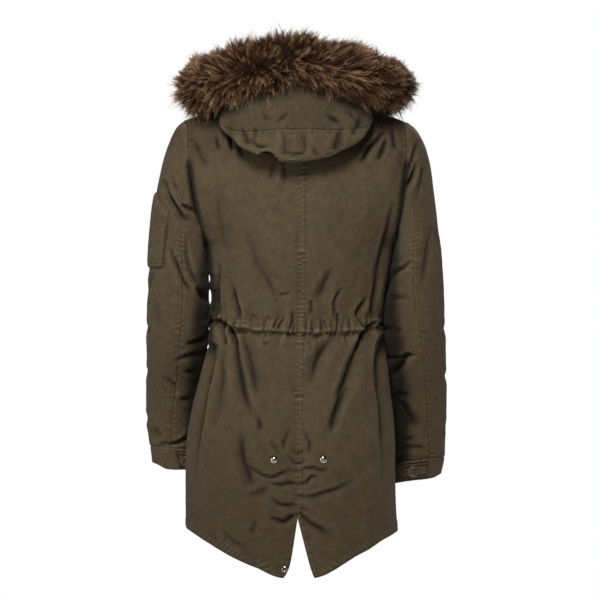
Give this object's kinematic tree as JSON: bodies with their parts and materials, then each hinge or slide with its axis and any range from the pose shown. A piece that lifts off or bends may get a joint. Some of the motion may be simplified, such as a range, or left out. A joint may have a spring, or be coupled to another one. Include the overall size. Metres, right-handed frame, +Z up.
{
  "type": "fur trimmed parka",
  "caption": "Waist-tied fishtail parka with a split hem, filled out as worn, its fur trimmed hood lowered behind the neck.",
  "frame": {"origin": "middle of the neck opening at the height of the shoulders, where the wearer's neck and shoulders hold the garment", "axes": "+Z up, the wearer faces -Y and the wearer's left arm is at +X"},
  "size_m": [0.5712, 0.3745, 1.0332],
  "materials": {
    "twill": "washed olive brown cotton twill, matt, slightly worn at its seams",
    "fur": "long brown pile with dark roots and pale tips",
    "buttons": "cast resin buttons in the cloth's colour",
    "snaps": "nickel plated press studs"
  },
  "bodies": {
    "root": {"back_left": "twill", "back_right": "twill", "front_left": "twill", "front_right": "twill", "storm_flap": "twill", "waist_casing": "twill", "sleeve_left_upper": "twill", "sleeve_left_under": "twill", "sleeve_right_upper": "twill", "sleeve_right_under": "twill", "cuff_left": "twill", "cuff_right": "twill", "cuff_tab_left": "twill", "cuff_tab_right": "twill", "sleeve_pocket": "twill", "sleeve_pocket_welt": "twill", "hood_side_left": "twill", "hood_crown_left": "twill", "hood_crown_right": "twill", "hood_side_right": "twill", "hood_band": "twill", "fur_tape": "twill", "fur_trim": "fur", "cuff_button_left": "buttons", "cuff_button_right": "buttons", "snap_back_left": "snaps", "snap_back_right": "snaps", "snap_tail": "snaps"}
  },
  "joints": []
}
